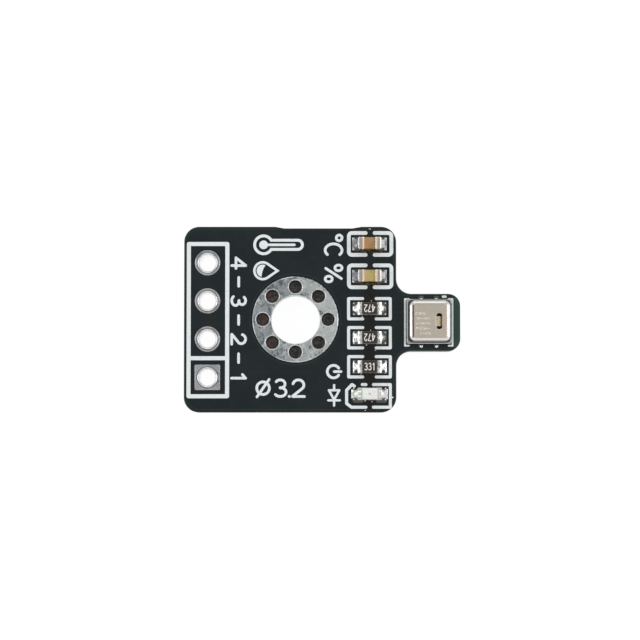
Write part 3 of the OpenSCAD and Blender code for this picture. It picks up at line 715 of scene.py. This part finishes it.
def header_eyelet(number):
    name = f"header_eyelet_{number}"
    low, high = box_mm(name)
    cx = (low.x + high.x) / 2
    cy = (low.y + high.y) / 2
    square = number == 1
    # Each ring: radius, or None where it follows the pad's edge; distance in from it; height; material
    barrel, groove, plate = 1, 2, 0
    profile = [(None, 0, 0.03, plate), (None, 0, 0, plate), (0.66, 0, 0, plate), (0.60, 0, 0.02, barrel),
               (0.57, 0, 0.05, barrel), (HOLE_R, 0, 0.12, barrel), (HOLE_R, 0, 0.7, barrel)]
    for step in range(9):
        turn = math.radians(90 * step / 8)
        radius = HOLE_R + (MOUTH_R - HOLE_R) * (1 - math.cos(turn))
        profile.append((radius, 0, FUNNEL_LOW + (FUNNEL_HIGH - FUNNEL_LOW) * math.sin(turn), barrel))
    profile += [(0.67, 0, PAD_TOP - 0.012, groove), (0.69, 0, PAD_TOP - 0.018, groove),
                (0.72, 0, PAD_TOP - 0.024, groove), (0.75, 0, PAD_TOP - 0.018, plate),
                (None, 0.07, PAD_TOP - 0.003, plate), (None, 0.045, PAD_TOP, plate),
                (None, 0.022, PAD_TOP - 0.008, plate), (None, 0.008, PAD_TOP - 0.022, plate),
                (None, 0, PAD_TOP - 0.045, plate), (None, 0, BOARD_TOP - 0.03, plate),
                (BARREL_R, 0, BOARD_TOP - 0.03, plate), (BARREL_R, 0, 0.03, plate)]
    rings = []
    kinds = []
    for radius, inset, z, kind in profile:
        ring = []
        for i in range(AROUND):
            angle = 2 * math.pi * i / AROUND
            r = radius or (square_reach(angle, PAD_HALF, 0.05) if square else PAD_HALF) - inset
            ring.append((cx + r * math.cos(angle), cy + r * math.sin(angle), z))
        rings.append(ring)
        kinds += [kind] * AROUND
    pad = Solids()
    pad.rings(rings, closed=True)
    materials = (PAD_TIN, BARREL_TIN, SHADED_GROOVE_TIN)
    piece = add_mesh(f"tinned_{name}", pad.points, pad.faces, materials, kinds)
    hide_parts(name)


for n in range(1, 5):
    header_eyelet(n)


# Solder at the chips' ends: a fillet that pinches in, and a bead at each corner of the land

CHIP_END = 0.8
CHIP_HALF_W = 0.385


def fillet(solids, cx, cy, side, start, reach, height, hollow, pinch, tip, seed):
    """One end's fillet, from start out to reach.

    hollow is 1 for a straight slope and more for a hollow one, tip is half the width at the far end,
    and pinch is how far the sides bend in between.
    """
    draw = random.Random(seed)
    wave = [draw.uniform(-1, 1) for _ in range(5)]
    length = reach - start
    over_chip = (CHIP_END - start) / length

    def top(along, v):
        across = 2 * v - 1
        u = max(0.0, (along - over_chip) / (1 - over_chip))
        narrowing = pinch * math.sin(math.pi * min(1, u * 1.15)) * (0.8 + 0.2 * wave[0] * across)
        half = CHIP_HALF_W + (tip - CHIP_HALF_W) * u - narrowing
        rise = height * (1 - u) ** hollow + 0.03 * (1 - u ** 6)
        rounding = max(0.0, 1 - abs(across) ** (3.5 + wave[1])) ** 0.6
        ripple = 0.010 * math.sin(8 * u + 3 * wave[2]) * math.cos(5 * across + 3 * wave[3])
        lump = 0.03 * math.exp(-((u - 0.45) / 0.2) ** 2 - ((across - 0.5 * wave[4]) / 0.35) ** 2)
        z = LAND_TOP - 0.004 + (rise + ripple + lump) * rounding * (1 - u ** 8)
        return (cx + side * (start + along * length), cy + across * half, z)

    solids.height_field(24, 20, top, LAND_TOP - 0.006)


def bead(solids, x, y, r, low, height):
    """A small dome of solder."""
    rings = [circle_ring(x, y, r * 0.9, low, 16)]
    for step in range(5):
        turn = math.radians(18 * step)
        rings.append(circle_ring(x, y, max(r * math.cos(turn), 0.002), low + height * (0.15 + math.sin(turn)), 16))
    solids.rings(rings)


def chip_fillets(node, materials, start, reaches, height, hollow, pinch, tips, seed):
    """The fillets at both ends; materials, reaches and tips are those of the left and the right end."""
    low, high = box_mm(node)
    cx = (low.x + high.x) / 2
    cy = (low.y + high.y) / 2
    solids = Solids()
    kinds = []
    for end, side in enumerate((-1, 1)):
        fillet(solids, cx, cy, side, start, reaches[end], height, hollow, pinch, tips[end], seed + side)
        kinds += [end] * (len(solids.faces) - len(kinds))
    for x in (-1, 1):
        for y in (-1, 1):
            bead(solids, cx + 1.05 * x, cy + 0.365 * y, 0.062 + 0.004 * (x - y), LAND_TOP - 0.005, 0.055)
    kinds += [2] * (len(solids.faces) - len(kinds))
    piece = add_mesh(f"{node}_fillets", solids.points, solids.faces, (*materials, SOLDER), kinds)
    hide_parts(node)


# The capacitors' ends and two resistors' left ends take the darker solder copies as painted shade
for n in (1, 2):
    chip_fillets(f"capacitor_{n}_solder", (DARK_SHADED_SOLDER, GREY_SHADED_SOLDER), 0.79, (1.14, 1.14),
                 0.34, 1.15, 0.07, (0.44, 0.44), 10 * n)
chip_fillets("resistor_1_solder", (SOLDER, SOLDER), 0.79, (1.12, 1.08), 0.16, 1.2, 0.02, (0.12, 0.10), 100)
chip_fillets("resistor_2_solder", (GREY_SHADED_SOLDER, SOLDER), 0.79, (1.12, 1.04), 0.16, 1.2, 0.05, (0.36, 0.10), 200)
chip_fillets("resistor_3_solder", (GREY_SHADED_SOLDER, SOLDER), 0.79, (1.12, 1.14), 0.17, 1.3, 0.20, (0.44, 0.44), 300)
chip_fillets("led_solder", (PALE_SOLDER, WARM_SOLDER), 0.55, (1.22, 1.20), 0.33, 1.1, 0.08, (0.30, 0.34), 1000)


# A capacitor's end caps: a ridge beside the ceramic, a slight waist, and a rounded end

CAP_HALF_W = 0.41
CAP_HALF_H = 0.4
CAP_INNER = 0.37


def end_caps(n):
    name = f"capacitor_{n}_end_caps"
    low, high = box_mm(name)
    centre = (low + high) / 2
    # Distance from the chip's middle, and how far the skin lies under the cap's full size
    profile = [(CAP_INNER, 0.035), (CAP_INNER + 0.004, 0.010), (0.39, 0.002), (0.41, 0.0), (0.44, 0.003),
               (0.48, 0.010), (0.53, 0.016), (0.58, 0.014), (0.62, 0.007), (0.655, 0.002), (0.68, 0.0)]
    for step in range(1, 7):
        turn = math.radians(15 * step)
        profile.append((0.68 + 0.12 * math.sin(turn), 0.12 * (1 - math.cos(turn))))
    caps = Solids()
    for side in (-1, 1):
        rings = []
        for along, inset in profile:
            half = (CAP_HALF_W - inset, CAP_HALF_H - inset)
            corner = 0.07 + 0.5 * inset
            outline = rounded_ring((-half[0], -half[1]), half, corner, 0, steps=5)
            rings.append([(centre.x + side * along, centre.y + y, centre.z + z) for y, z, _ in outline])
        caps.rings(rings)
    piece = add_mesh(f"domed_{name}", caps.points, caps.faces, (END_METAL,))
    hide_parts(name)


for n in (1, 2):
    end_caps(n)


# A resistor's wraps: thin metal folded round each end, whose top rolls off outwards

WRAP_INNER = 0.49
ROLL_START = 0.56
ROLL_DROP = 0.055
WRAP_T = 0.03


def wrap_outline(low_z, high_z):
    """Outline of one wrap, seen along Y, as distances from the chip's middle and heights."""
    fold = CHIP_END - WRAP_T
    outline = [(WRAP_INNER, low_z), (fold, low_z), (CHIP_END - 0.01, low_z + 0.01), (CHIP_END, low_z + WRAP_T)]
    for step in range(9, -1, -1):
        turn = math.radians(10 * step)
        outline.append((ROLL_START + (CHIP_END - ROLL_START) * math.sin(turn),
                        high_z - ROLL_DROP * (1 - math.cos(turn))))
    outline += [(WRAP_INNER + 0.01, high_z), (WRAP_INNER, high_z - 0.008), (WRAP_INNER, high_z - WRAP_T),
                (fold, high_z - WRAP_T), (fold, low_z + WRAP_T), (WRAP_INNER, low_z + WRAP_T)]
    return outline


def end_wraps(n):
    name = f"resistor_{n}_end_wraps"
    low, high = box_mm(name)
    cx = (low.x + high.x) / 2
    wraps = Solids()
    for side in (-1, 1):
        rings = []
        for y in (low.y, low.y + 0.004, low.y + 0.02, high.y - 0.02, high.y - 0.004, high.y):
            rings.append([(cx + side * x, y, z) for x, z in wrap_outline(low.z, high.z)])
        wraps.rings(rings)
    piece = add_mesh(f"rolled_{name}", wraps.points, wraps.faces, (WRAP_METAL,))
    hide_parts(name)


for n in (1, 2, 3):
    end_wraps(n)


# The sensor's drawn lid: a drooping flange, a crowned top and a slot with a soft rim

SLOT_Y = -0.17
SLOT_W = 0.4
SLOT_L = 1.06


def sensor_lid():
    low, high = box_mm("sensor_lid")
    full = high.z - low.z
    # Distance in from the package's edge, height above its base, and corner radius
    flange = [(0, 0, 0.10), (0, 0.078, 0.10), (0.004, 0.090, 0.10), (0.014, 0.098, 0.10),
              (0.022, 0.100, 0.10), (0.030, 0.100, 0.11)]
    can = [(0.070, 0.100, 0.34), (0.078, 0.100, 0.34), (0.084, 0.112, 0.35), (0.090, 0.15, 0.36),
           (0.122, 0.50, 0.38), (0.126, 0.530, 0.38), (0.133, 0.556, 0.39), (0.145, 0.580, 0.39),
           (0.160, 0.601, 0.38), (0.182, 0.622, 0.37), (0.215, 0.645, 0.36), (0.25, 0.665, 0.34),
           (0.285, 0.680, 0.32), (0.315, 0.690, 0.30), (0.335, 0.695, 0.28), (0.43, 0.7145, 0.22),
           (0.46, full - 0.004, 0.2)]
    rings = []
    for (dx, dy), profile in (((0, 0), flange), (CAN_SHIFT, can)):
        for inset, z, corner in profile:
            rings.append(rounded_ring((low.x + inset + dx, low.y + inset + dy),
                                      (high.x - inset + dx, high.y - inset + dy), corner, low.z + z))
    for grow, drop in ((0.045, 0.004), (0.020, 0.008), (0.005, 0.018), (0, 0.035), (0, 0.1)):
        half = (SLOT_W / 2 + grow, SLOT_L / 2 + grow)
        rings.append(rounded_ring((SLOT_X - half[0], SLOT_Y - half[1]), (SLOT_X + half[0], SLOT_Y + half[1]),
                                  half[0] - 0.001, high.z - drop))
    for inset, z in ((0.36, full - 0.1), (0.28, full - 0.16), (0.26, 0)):
        rings.append(rounded_ring((low.x + inset + CAN_SHIFT[0], low.y + inset + CAN_SHIFT[1]),
                                  (high.x - inset + CAN_SHIFT[0], high.y - inset + CAN_SHIFT[1]),
                                  0.2, low.z + z))
    lid = Solids()
    lid.rings(rings, closed=True)
    piece = add_mesh("crowned_lid", lid.points, lid.faces, (LID,))
    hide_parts("sensor_lid")


sensor_lid()


# Rims of the ring's vias, stray solder, and the copper under the mask

def via_rims():
    rims = Solids()
    profile = ((0.425, -0.04), (0.435, 0.0), (0.465, 0.016), (0.48, 0.016), (0.515, 0.0), (0.52, -0.02))
    for x, y in VIA_PLACES:
        rims.rings([circle_ring(x, y, r, PAD_TOP + z, 48) for r, z in profile], closed=True)
    add_mesh("via_rims", rims.points, rims.faces, (RIM_TIN,))


def stray_solder():
    """Small balls left on the mask, and the cut end of a plating bar at the far edge."""
    stray = Solids()
    balls = ((5.04, 1.23, 0.05), (4.45, 0.18, 0.06), (5.00, -0.73, 0.05), (4.72, -1.69, 0.06),
             (4.37, -3.62, 0.05), (4.63, -5.40, 0.06), (5.09, -5.46, 0.05), (4.64, -6.04, 0.04),
             (6.45, -5.18, 0.07), (5.30, 2.27, 0.04), (4.83, 1.05, 0.035), (5.32, -2.05, 0.04))
    for x, y, r in balls:
        bead(stray, x, y, r, BOARD_TOP - 0.01, r)
    bar = (4.96, 6.02)
    half = (0.08, 0.04)
    rings = []
    for inset, z in ((0, -0.01), (0, 0.006), (0.015, 0.016)):
        rings.append(rounded_ring((bar[0] - half[0] + inset, bar[1] - half[1] + inset),
                                  (bar[0] + half[0] - inset, bar[1] + half[1] - inset), 0.03, BOARD_TOP + z, 4))
    stray.rings(rings)
    add_mesh("stray_solder", stray.points, stray.faces, (SOLDER,))


def sensor_joints():
    low, high = box_mm("sensor_solder")
    middle = (low.x + high.x) / 2
    joints = Solids()
    for side in (-1, 1):
        bead(joints, middle + 0.5 * side, high.y - 0.28, 0.13, low.z + 0.01, 0.10)
        bead(joints, middle + 0.5 * side, low.y + 0.10, 0.13, low.z + 0.01, 0.10)
    piece = add_mesh("sensor_joints", joints.points, joints.faces, (SOLDER,))
    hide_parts("sensor_solder")


via_rims()
stray_solder()
sensor_joints()


# Lettering from round-ended strokes

def arc(cx, cy, rx, ry, start, end, steps=20):
    points = []
    for i in range(steps + 1):
        a = math.radians(start + (end - start) * i / steps)
        points.append((cx + rx * math.cos(a), cy + ry * math.sin(a)))
    return points


# Each sign is one unit tall, and is a list of strokes
SIGNS = {
    "1": [[(0.20, 0.78), (0.46, 1.0)], [(0.46, 1.0), (0.46, 0.0)]],
    "2": [arc(0.40, 0.69, 0.33, 0.31, 165, -38) + [(0.06, 0.02)], [(0.06, 0.0), (0.76, 0.0)]],
    "3": [arc(0.38, 0.755, 0.29, 0.245, 145, -90), arc(0.38, 0.265, 0.35, 0.265, 90, -145)],
    "4": [[(0.60, 0.0), (0.60, 1.0)], [(0.60, 1.0), (0.04, 0.30)], [(0.04, 0.30), (0.80, 0.30)]],
    "7": [[(0.06, 1.0), (0.74, 1.0)], [(0.74, 1.0), (0.30, 0.0)]],
    "C": [arc(0.44, 0.5, 0.38, 0.5, 48, 312, 28)],
    "degree": [arc(0.17, 0.83, 0.17, 0.17, 0, 360)],
    "percent": [arc(0.17, 0.79, 0.17, 0.21, 0, 360), arc(0.83, 0.21, 0.17, 0.21, 0, 360),
                [(0.80, 0.96), (0.20, 0.04)]],
    "diameter": [arc(0.46, 0.5, 0.38, 0.38, 0, 360, 32), [(0.10, -0.02), (0.82, 1.02)]],
    "point": [[(0.10, 0.0), (0.12, 0.0)]],
    "dash": [[(0.0, 0.5), (0.62, 0.5)]],
    "power": [arc(0.5, 0.46, 0.46, 0.46, 125, 415, 32), [(0.5, 1.0), (0.5, 0.52)]],
    "diode": [[(0.10, 0.88), (0.10, 0.12)], [(0.10, 0.12), (0.80, 0.5)], [(0.80, 0.5), (0.10, 0.88)],
              [(0.84, 0.92), (0.84, 0.08)], [(-0.28, 0.5), (0.10, 0.5)], [(0.84, 0.5), (1.22, 0.5)]],
}


def ribbon(solids, path, width, low, high):
    """A low rounded stroke of ink along a path, with round ends, or closed if the path is."""
    closed = math.dist(path[0], path[-1]) < 1e-6
    points = path[:-1] if closed else path
    half = width / 2
    rings = []

    def ring(point, normal, share):
        made = []
        for step in range(7):
            a = math.pi * step / 6
            reach = math.cos(a) * half * share
            z = low + (high - low) * math.sin(a) ** 0.45 if 0 < step < 6 else low
            made.append((point[0] + normal[0] * reach, point[1] + normal[1] * reach, z))
        return made

    def normal_at(i):
        before = points[i - 1] if closed or i > 0 else points[i]
        after = points[(i + 1) % len(points)] if closed or i < len(points) - 1 else points[i]
        dx = after[0] - before[0]
        dy = after[1] - before[1]
        size = math.hypot(dx, dy)
        return (-dy / size, dx / size)

    def cap(i, way):
        nx, ny = normal_at(i)
        for step in range(1, 6):
            a = math.radians(18 * step)
            tip = (points[i][0] + way * ny * half * math.sin(a), points[i][1] - way * nx * half * math.sin(a))
            yield ring(tip, (nx, ny), max(math.cos(a), 0.02))

    if not closed:
        rings += reversed(list(cap(0, -1)))
    for i, point in enumerate(points):
        rings.append(ring(point, normal_at(i), 1))
    if not closed:
        rings += list(cap(len(points) - 1, 1))
    solids.rings(rings, closed)


def write(solids, sign, origin, height, angle, width, low, high, narrow=1.0):
    """Draws one sign with its lower left corner at origin, turned by an angle in degrees."""
    turn = math.radians(angle)
    for stroke in SIGNS[sign]:
        path = []
        for x, y in stroke:
            x *= narrow
            px = origin[0] + height * (x * math.cos(turn) - y * math.sin(turn))
            py = origin[1] + height * (x * math.sin(turn) + y * math.cos(turn))
            path.append((px, py))
        ribbon(solids, path, width, low, high)


def board_lettering():
    """Contact numbers, unit signs, a power sign with a diode, and the hole's size."""
    letters = Solids()
    line = 0.19
    column_x = -4.23
    tall = 0.92
    down = -90
    for n in range(1, 5):
        low, high = box_mm(f"header_eyelet_{n}")
        y = (low.y + high.y) / 2
        write(letters, str(n), (column_x, y + 0.40 * tall), tall, down, line, INK_LOW, INK_HIGH)
        if n < 4:
            write(letters, "dash", (column_x, y + 1.27 + 0.31 * tall), tall, down, line, INK_LOW, INK_HIGH)
    units_x = 1.98
    units_tall = 1.12
    write(letters, "degree", (units_x, 5.62), units_tall, down, line, INK_LOW, INK_HIGH)
    write(letters, "C", (units_x, 5.10), units_tall, down, line, INK_LOW, INK_HIGH)
    write(letters, "percent", (units_x, 3.62), units_tall, down, line, INK_LOW, INK_HIGH)
    write(letters, "power", (2.12, -3.02), 0.90, down, line, INK_LOW, INK_HIGH)
    write(letters, "diode", (2.12, -4.62), 0.90, down, line * 0.85, INK_LOW, INK_HIGH)
    size_y = -5.12
    for sign, x in (("diameter", -2.65), ("3", -1.42), ("point", -0.52), ("2", -0.24)):
        write(letters, sign, (x, size_y), 1.10, 0, line, INK_LOW, INK_HIGH)
    add_mesh("board_lettering", letters.points, letters.faces, (INK,))


board_lettering()


def resistor_codes():
    """Three plain digits on each resistor, the first two of which lie upside down."""
    codes = Solids()
    tall = 0.45
    step = 0.255
    for number, (code, angle) in enumerate((("472", 180), ("472", 180), ("331", 0)), 1):
        low, high = box_mm(f"resistor_{number}_overcoat")
        turn = -1 if angle else 1
        cx = (low.x + high.x) / 2
        cy = (low.y + high.y) / 2
        for i, digit in enumerate(code):
            x = cx + turn * ((i - 1) * step - 0.09)
            y = cy - turn * tall / 2
            write(codes, digit, (x, y), tall, angle, 0.060, high.z - 0.004, high.z + 0.012, 0.54)
    add_mesh("resistor_codes", codes.points, codes.faces, (CODE_INK,))


resistor_codes()


def lid_mark():
    """Faint plain digits, marked by laser, in rows that read along Y."""
    low, high = box_mm("sensor_lid")
    mark = Solids()
    tall = 0.27
    # Each row: its digits, and its lower end's distance from the lid's left and near side
    rows = (("3142", 0.85, 0.88), ("72413", 1.18, 0.55), ("2137", 1.51, 0.55))
    for digits, from_left, from_near in rows:
        for i, digit in enumerate(digits):
            place = (low.x + from_left, low.y + from_near + 0.33 * i)
            write(mark, digit, place, tall, 90, 0.05, high.z - 0.008, high.z - 0.001, 0.8)
    add_mesh("lid_mark", mark.points, mark.faces, (MARK,))


lid_mark()


def traces():
    """Copper tracks, seen as faint ridges in the mask."""
    ridges = Solids()
    tracks = ([(-3.85, -3.53), (1.45, -3.53)], [(6.40, -0.28), (7.20, -0.28)], [(6.42, 0.42), (7.22, 0.42)],
              [(-3.75, 5.70), (-1.2, 5.70), (-0.9, 5.52), (3.1, 5.52)], [(3.0, 1.9), (3.55, 1.35), (3.55, 0.9)])
    for track in tracks:
        ribbon(ridges, track, 0.12, BOARD_TOP - 0.003, BOARD_TOP + 0.007)
    add_mesh("traces", ridges.points, ridges.faces, (MASK,))


traces()


# Studio

def lamp(name, place, size, strength):
    """A softbox that faces the part; strength is its brightness, where 1 is white."""
    data = bpy.data.lights.new(name, "AREA")
    data.shape = "RECTANGLE"
    data.size, data.size_y = size
    data.energy = strength * math.pi * size[0] * size[1]
    made = bpy.data.objects.new(name, data)
    made.location = place
    made.rotation_euler = (CENTRE - Vector(place)).to_track_quat("-Z", "Y").to_euler()
    bpy.context.scene.collection.objects.link(made)


lamp("softbox_left", (-0.17, 0.02, 0.13), (0.14, 0.12), 1.6)
lamp("softbox_right", (0.17, 0.02, 0.13), (0.14, 0.12), 1.6)
lamp("softbox_back", (0.0, 0.20, 0.14), (0.20, 0.10), 1.1)


def studio_world():
    """White to the camera, a soft grey to matte surfaces, and a tent of white panels to metal."""
    world = bpy.data.worlds.new("studio")
    world.use_nodes = True
    n = Nodes(world.node_tree)
    x, y, z = n.parts(n.tree.nodes.new("ShaderNodeTexCoord").outputs["Generated"])
    above = n.spread(z, 0.10, 0.25)
    panels = (
        n.math("MULTIPLY", n.spread(z, 0.74, 0.84, 0.12, 0.62), n.spread(x, -0.42, -0.34, 0.2, 1.0)),
        n.math("MULTIPLY", n.spread(x, -0.54, -0.64), above),
        n.math("MULTIPLY", n.spread(x, 0.56, 0.66), above),
        n.math("MULTIPLY", n.spread(y, 0.30, 0.50, 0, 0.80), above),
        n.math("MULTIPLY", n.spread(y, -0.48, -0.58, 0, 1.1), above),
        n.spread(z, 0.22, 0.04, 0, 0.40),
    )
    level = panels[0]
    for panel in panels[1:]:
        level = n.math("MAXIMUM", level, panel)
    tent = n.shader("Background", level)
    soft = n.shader("Background", (0.70, 0.71, 0.72, 1))
    white = n.shader("Background", (1, 1, 1, 1))
    lit = n.blend(n.ray("Glossy", "Transmission"), soft, tent)
    output = n.tree.nodes["World Output"]
    n.set(output, "Surface", n.blend(n.ray("Camera"), lit, white))
    bpy.context.scene.world = world


def studio_floor():
    """A white sheet that keeps the part's shadow."""
    material = bpy.data.materials.new("floor")
    material.use_nodes = True
    n = Nodes(material.node_tree)
    n.tree.nodes.remove(n.tree.nodes["Principled BSDF"])
    sheet = n.shader("BsdfDiffuse", (0.8, 0.8, 0.8, 1))
    glow = n.tree.nodes.new("ShaderNodeAddShader")
    n.set(glow, 0, n.shader("BsdfDiffuse", (0.12, 0.12, 0.12, 1)))
    n.set(glow, 1, n.shader("Emission", (0.93, 0.93, 0.93, 1)))
    seen = n.ray("Camera", "Glossy", "Transmission")
    n.set(n.tree.nodes["Material Output"], "Surface", n.blend(seen, sheet, glow.outputs[0]))
    bpy.ops.mesh.primitive_plane_add(size=2.0, location=(0, 0, 0))
    floor = bpy.context.object
    floor.name = "floor"
    floor.data.materials.append(material)


studio_world()
studio_floor()
bpy.context.scene.view_settings.view_transform = "Standard"
